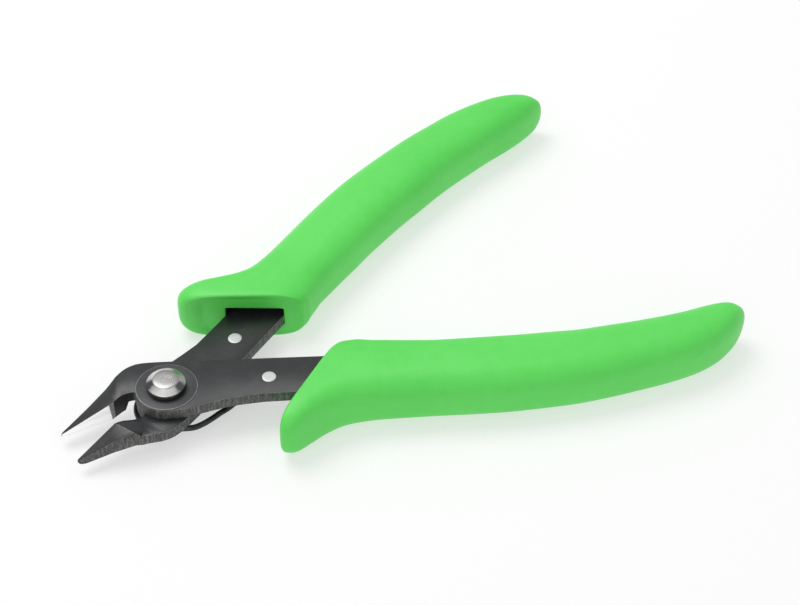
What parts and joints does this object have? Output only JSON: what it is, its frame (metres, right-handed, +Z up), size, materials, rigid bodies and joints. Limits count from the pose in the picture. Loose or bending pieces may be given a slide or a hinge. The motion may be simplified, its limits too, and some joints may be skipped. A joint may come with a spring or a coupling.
{
  "type": "side cutters",
  "caption": "Small flush side cutters: two black steel levers crossing at a bright rivet, wire return spring and green moulded handle sleeves, standing open.",
  "frame": {"origin": "centre of the tool's footprint, on the surface the handle sleeves rest on", "axes": "+X from the jaws to the handle ends, +Z up away from the resting surface, Y across the handles"},
  "size_m": [0.1244, 0.0838, 0.0114],
  "materials": {
    "black_steel_upper": "black oxide over blanked steel, satin, bright ground cutting face",
    "black_steel_lower": "black oxide over blanked steel, satin, bright ground cutting face",
    "rivet_steel": "turned bright steel",
    "spring_wire": "black spring wire",
    "stud_steel_upper": "bright steel, ground flush",
    "stud_steel_lower": "bright steel, ground flush",
    "green_vinyl_front": "satin moulded soft vinyl",
    "green_vinyl_rear": "satin moulded soft vinyl"
  },
  "bodies": {
    "lower_half": {"lower_lever": "black_steel_lower", "rear_grip": "green_vinyl_rear", "lower_spring_stud": "stud_steel_lower", "pivot_rivet": "rivet_steel", "return_spring": "spring_wire"},
    "upper_half": {"upper_lever": "black_steel_upper", "front_grip": "green_vinyl_front", "upper_spring_stud": "stud_steel_upper"}
  },
  "joints": [
    {"name": "pivot", "type": "hinge", "parent": "lower_half", "child": "upper_half", "pos_m": [-0.04244, 0, 0.0057], "axis": [0, 0, 1], "range_deg": [0, 19], "stiffness_Nm_per_rad": 0.35, "springref_deg": -8.02, "deforming": ["return_spring"]}
  ]
}
